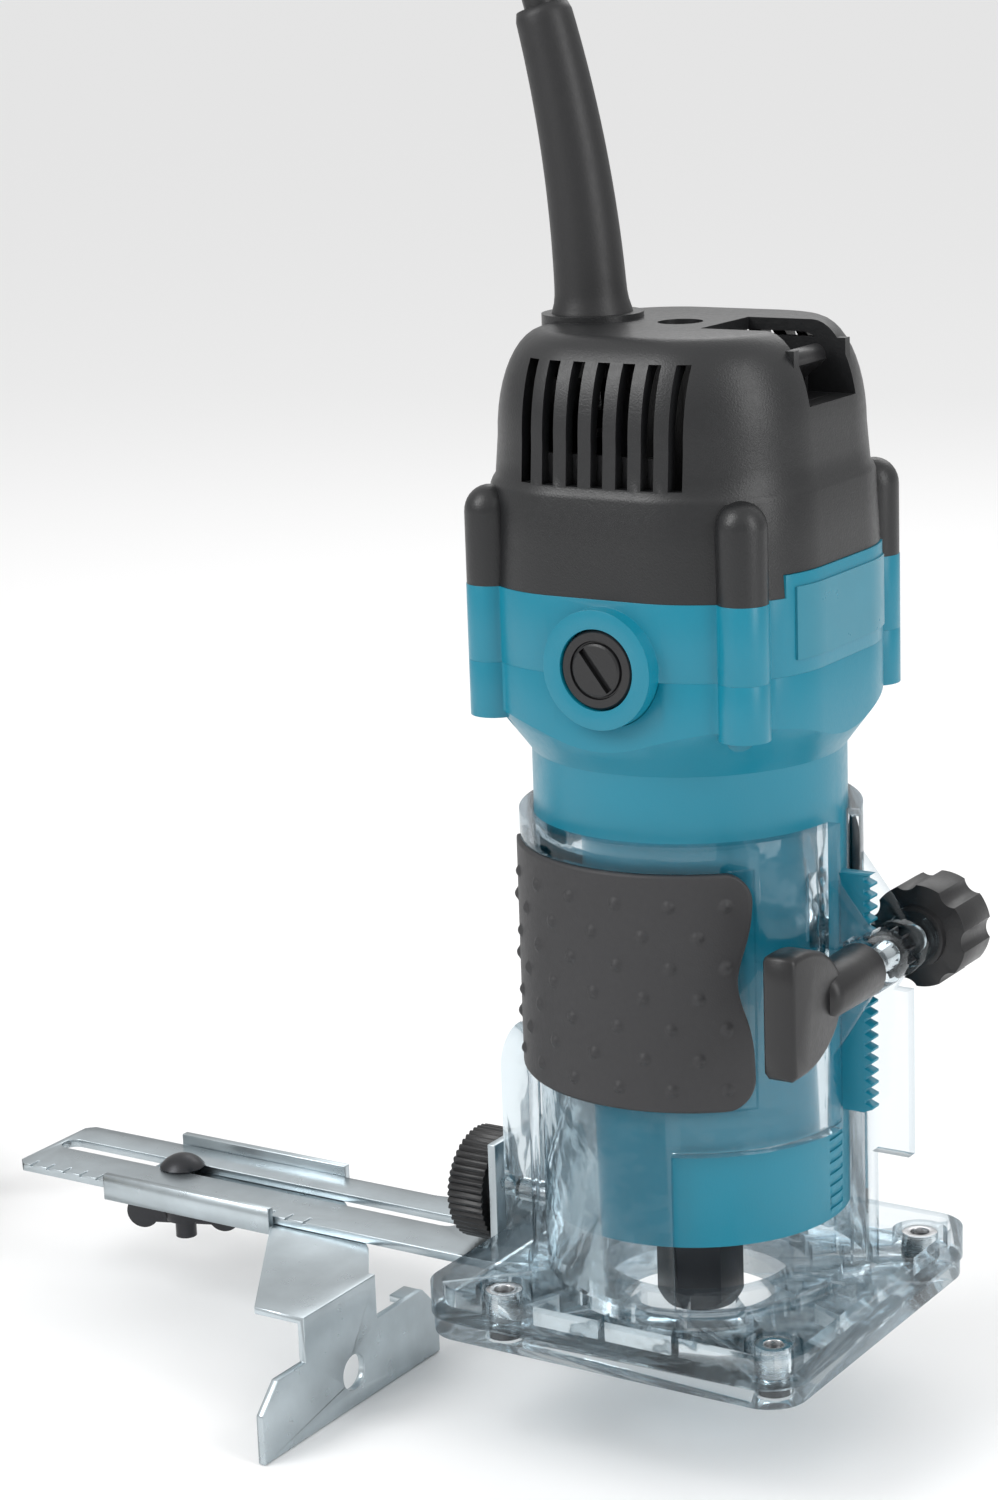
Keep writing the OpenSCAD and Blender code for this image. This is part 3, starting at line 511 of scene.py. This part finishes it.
def grip_inset(z):
    """Degrees by which the rounded corners pull an edge in at height z."""
    low, high = GRIP_Z
    near = min(z - low, high - z)
    if near >= GRIP_CORNER:
        return 0.0
    pulled = GRIP_CORNER - math.sqrt(max(0.0, GRIP_CORNER ** 2 - (GRIP_CORNER - near) ** 2))
    return math.degrees(pulled / GRIP_R)


def grip_bump(angle, z):
    """Height of the small domes, in staggered rows."""
    for row, row_z in enumerate(GRIP_ROWS):
        if abs(z - row_z) > DOME_R:
            continue
        first = GRIP_FIRST - (GRIP_PITCH / 2 if row % 2 else 0)
        column = round((first - angle) / GRIP_PITCH)
        if not 0 <= column < GRIP_COLUMNS:
            continue
        across = math.radians(angle - (first - column * GRIP_PITCH)) * GRIP_R
        away = math.hypot(across, z - row_z) / DOME_R
        if away < 1:
            return DOME_H * (1 - away ** 2) ** 1.2
    return 0.0


def make_grip(name, mirror, node):
    """A curved rubber pad with rounded corners, a soft rim and small domes."""
    columns, rows = 250, 150
    rim, rim_fall = 0.8, 0.5
    outer, inner = [], []
    for i in range(rows + 1):
        t = i / rows
        z = GRIP_Z[0] + (GRIP_Z[1] - GRIP_Z[0]) * (t - 0.06 * math.sin(2 * math.pi * t))
        near = grip_edge(z) - grip_inset(z)
        far = GRIP_FAR + grip_inset(z)
        out_line, in_line = [], []
        for j in range(columns + 1):
            angle = far + (near - far) * j / columns
            margin = min(z - GRIP_Z[0], GRIP_Z[1] - z, math.radians(near - angle) * GRIP_R,
                         math.radians(angle - far) * GRIP_R)
            fall = rim_fall * max(0.0, 1 - margin / rim) ** 2
            r = GRIP_R - fall + grip_bump(angle, z)
            a = math.radians(angle)
            for line, radius in ((out_line, r), (in_line, GRIP_INNER)):
                line.append(Vector((radius * math.cos(a), mirror * radius * math.sin(a), z)) * MM)
        outer.append(out_line)
        inner.append(in_line)
    wide = columns + 1
    verts = [p for line in outer for p in line] + [p for line in inner for p in line]
    half = len(outer) * wide
    faces = []
    for i in range(rows):
        for j in range(columns):
            a = i * wide + j
            faces.append((a, a + 1, a + wide + 1, a + wide))
            faces.append((half + a, half + a + wide, half + a + wide + 1, half + a + 1))
    for i in range(rows):
        for a in (i * wide, i * wide + columns):
            faces.append((a, a + wide, half + a + wide, half + a))
    for j in range(columns):
        for a in (j, rows * wide + j):
            faces.append((a, half + a, half + a + 1, a + 1))
    piece(name, verts, faces, "base", "grip_rubber", [node])


# ---------- cap ----------

CAP_LOW, CAP_TOP, SHOULDER_LOW = 160.0, 210.0, 189.0
CAP_SECTIONS = ((CAP_LOW, 36.3, 26.3), (170.0, 35.9, 26.2), (179.2, 35.5, 26.0), (180.2, 35.2, 26.0),
                (181.2, 34.6, 25.6), (185.0, 34.3, 25.4), (SHOULDER_LOW, 34.0, 25.2))
SHOULDER_IN, SHOULDER_STEPS = 10.0, 12
CAP_WALL = 2.5
VENTS, VENT_PITCH, VENT_W = 7, 5.6, 2.7
VENT_Z = (181.6, 205.5)
GUARD_AT = Vector((-21.0, 1.0))
BOSS_AT, BOSS_R, BOSS_TOP, BOSS_DOME = 28.6, 5.1, 174.5, 5.4
LABEL_HALF, LABEL_TOP = 21.1, 164.6
SEAT_R, SEAT_BORE, SEAT_Z = 13.5, 11.05, (176, 208)
ABOVE_CAP = 216


def rounded_ring(half, corner, z):
    """Points round a square with rounded corners, in metres."""
    ring = []
    steps = 24
    out = half - corner
    for quarter in range(4):
        start = math.radians(90 * quarter)
        centre = Vector((out if quarter in (0, 3) else -out, out if quarter < 2 else -out))
        for step in range(steps + 1):
            a = start + math.radians(90 * step / steps)
            x, y = centre.x + corner * math.cos(a), centre.y + corner * math.sin(a)
            ring.append(Vector((x, y, z)) * MM)
    return ring


def cap_rings(inset):
    """The cap's sections, from its skirt over its rounded shoulder, drawn in by inset."""
    rings = [rounded_ring(half - inset, corner - inset, z - (1 if inset and z == CAP_LOW else 0))
             for z, half, corner in CAP_SECTIONS]
    _, half, corner = CAP_SECTIONS[-1]
    for step in range(1, SHOULDER_STEPS + 1):
        a = math.radians(90 * step / SHOULDER_STEPS)
        pulled = SHOULDER_IN * (1 - math.cos(a)) + inset
        z = SHOULDER_LOW + (CAP_TOP - SHOULDER_LOW) * math.sin(a) - (inset * math.sin(a))
        rings.append(rounded_ring(half - pulled, corner - pulled, z))
    return rings


def block(low, high):
    """A helper box between two corners, in millimetres."""
    (x0, y0, z0), (x1, y1, z1) = low, high
    corners = ((x0, y0), (x1, y0), (x1, y1), (x0, y1))
    rings = [[Vector((x, y, z)) * MM for x, y in corners] for z in (z0, z1)]
    return loose("block", *skin(rings))


def round_bar(centre, r, z0, z1, dome=0.0, count=40):
    """An upright cylinder, with a domed top if dome isn't zero."""
    levels = [(z0, r), (z1, r)]
    if dome:
        rises = [math.radians(a) for a in range(10, 90, 10)]
        levels += [(z1 + dome * math.sin(a), r * math.cos(a)) for a in rises]
    rings = [[Vector((centre[0] + x, centre[1] + y, z)) * MM for x, y in circle(q, count)]
             for z, q in levels]
    return loose("bar", *skin(rings))


CUT_SHARP = 32


def combine(base, others, operation):
    """Cuts or joins helper solids, and leaves only the result in base."""
    for other in others:
        step = base.modifiers.new("step", "BOOLEAN")
        step.operation = operation
        step.solver = "EXACT"
        step.object = other
    bpy.context.view_layer.update()
    made = bpy.data.meshes.new_from_object(base.evaluated_get(bpy.context.evaluated_depsgraph_get()))
    base.modifiers.clear()
    base.data = made
    for other in others:
        bpy.data.objects.remove(other)


def make_cap():
    """Vented cap: bosses outside, switch pocket, guard socket and bearing seat inside."""
    cap = loose("cap", *skin(cap_rings(0)))
    corners = [(x, y) for x in (-BOSS_AT, BOSS_AT) for y in (-BOSS_AT, BOSS_AT)]
    combine(cap, [round_bar(c, BOSS_R, CAP_LOW, BOSS_TOP, BOSS_DOME) for c in corners], "UNION")
    first = -(VENTS - 1) / 2
    cuts = [loose("hollow", *skin(cap_rings(CAP_WALL)))]
    for y0, y1 in ((-40, -20), (20, 40)):
        for i in range(VENTS):
            x = (first + i) * VENT_PITCH
            cuts.append(block((x - VENT_W / 2, y0, VENT_Z[0]), (x + VENT_W / 2, y1, VENT_Z[1])))
    skirt = CAP_SECTIONS[0][1]
    cuts.append(block((skirt - 9, -LABEL_HALF, CAP_LOW - 10), (skirt + 9, LABEL_HALF, LABEL_TOP)))
    combine(cap, cuts, "DIFFERENCE")
    switch_box = block((7.5, -11, 191), (31.2, 13, 206.5))
    vent_ribs = [block((-14, -31.4, 179), (14, -29.6, 187.5)), block((-14, 29.6, 179), (14, 31.4, 187.5))]
    guard_tube = round_bar(GUARD_AT, 10.5, 199, 211.2)
    bearing_tube = round_bar((0, 0), SEAT_R, *SEAT_Z)
    combine(cap, [switch_box, *vent_ribs, guard_tube, bearing_tube], "UNION")
    pocket = block((9.5, -9, 195.5), (46, 11, ABOVE_CAP))
    switch_hole = block((14.2, -6, 189), (29, 8, 200))
    switch_flange = block((11, -7.6, 193.5), (29, 9.6, 200))
    guard_hole = round_bar(GUARD_AT, 7.9, 190, ABOVE_CAP)
    top_dimple = round_bar((0, 0), 4.6, 208.6, ABOVE_CAP)
    bearing_seat = round_bar((0, 0), SEAT_BORE, 170, 184.1)
    shaft_room = round_bar((0, 0), 9, 183, 190)
    combine(cap, [pocket, switch_hole, switch_flange, guard_hole, top_dimple, bearing_seat, shaft_room],
            "DIFFERENCE")
    dress(cap, "motor_unit", "cap_plastic", ["rear_cover"])
    cap.data.set_sharp_from_angle(angle=math.radians(CUT_SHARP))
    round_edges(cap, 0.35 * MM, 40)


# ---------- brush caps ----------

SLOT_TURN = 52


def make_brush_cap(name, side, nodes):
    """Screwed cap of a brush holder: a broad rim, a moat, and a raised middle with a slanted slot."""
    low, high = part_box("brush_caps")
    centre_x, centre_z = (low[0] + high[0]) / 2 / MM, (low[2] + high[2]) / 2 / MM
    face = -low[1] / MM + 1.2
    # Radius and height above the holder's face, from the hidden skirt to the middle
    profile = ((7.2, -6), (7.9, -6), (7.9, 0.2), (7.5, 0.7), (5.9, 0.7), (5.7, 0.2), (5.5, 0.2),
               (5.3, 0.8), (4.9, 1.1), (0.02, 1.1))
    rings = [[Vector((centre_x + x, side * (face - 0.9 + out), centre_z + z)) * MM
              for x, z in circle(r, 56)] for r, out in profile]
    cap = loose(name, *skin(rings))
    slot = block((-5.0, -3, -0.75), (5.0, 3, 0.75))
    slot.matrix_world = (Matrix.Translation(Vector((centre_x, side * (face + 2), centre_z)) * MM)
                         @ Matrix.Rotation(math.radians(SLOT_TURN), 4, "Y"))
    bpy.context.view_layer.update()
    combine(cap, [slot], "DIFFERENCE")
    dress(cap, "motor_unit", "black_plastic", nodes)
    cap.data.set_sharp_from_angle(angle=math.radians(CUT_SHARP))


# ---------- clamp wing ----------

def make_wing():
    """D-shaped paddle on a short hub, with softened edges and a flat front."""
    low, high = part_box("clamp_wing")
    axis_x, axis_z = (low[0] + high[0]) / 2, (low[2] + high[2]) / 2
    front = low[1]
    half_thick = 3.5 * MM
    reach = (high[2] - low[2]) / 2
    deep = 22 * MM
    around = 28
    turns = [math.radians(-90 + 180 * i / around) for i in range(around + 1)]
    # Points up and back, as shares of reach and depth: the curved back, then the flat front
    outline = [(math.sin(a), math.cos(a)) for a in turns]
    outline += [(1.0, 0.0), (1.0, -0.16), (0.94, -0.2), (0.5, -0.2), (-0.5, -0.2), (-0.94, -0.2),
                (-1.0, -0.16)]
    # Place across the thickness and scale of the outline there
    profile = [(-1.0, 0.90), (-0.93, 0.955), (-0.72, 1.0), (0.72, 1.0), (0.93, 0.955), (1.0, 0.90)]
    rings = []
    for level, scale in profile:
        ring = []
        for up, back in outline:
            z = axis_z + up * reach * scale
            y = front + 0.2 * deep * (2 - scale) + back * deep * scale * 0.8
            ring.append(Vector((axis_x + level * half_thick, max(front, y), z)))
        rings.append(ring)
    paddle = piece("clamp_paddle", *skin(rings), "clamp_nut", "black_plastic", ["clamp_wing"])
    round_edges(paddle, 0.4 * MM, 50)
    hub_r, hub_end = 5.7 * MM, -7.8 * MM
    start = front + deep * 0.72
    stations = ((start, 4.6 * MM), (start + 3 * MM, hub_r * 0.95), (hub_end - 1 * MM, hub_r),
                (hub_end, hub_r - 0.5 * MM), (hub_end, 3.3 * MM))
    hub = [[Vector((axis_x + x, y, axis_z + z)) for x, z in circle(r, 32)] for y, r in stations]
    piece("clamp_hub", *skin(hub), "clamp_nut", "black_plastic")


# ---------- build ----------

make_camera()
make_studio()
paint_nodes()
plug = make_plug()
make_guard()
cord = make_cord()
make_grip("front_rubber", 1, "front_grip")
make_grip("rear_rubber", -1, "rear_grip")
make_wing()
make_cap()
make_brush_cap("brush_cap_front", -1, ["brush_caps"])
make_brush_cap("brush_cap_rear", 1, [])
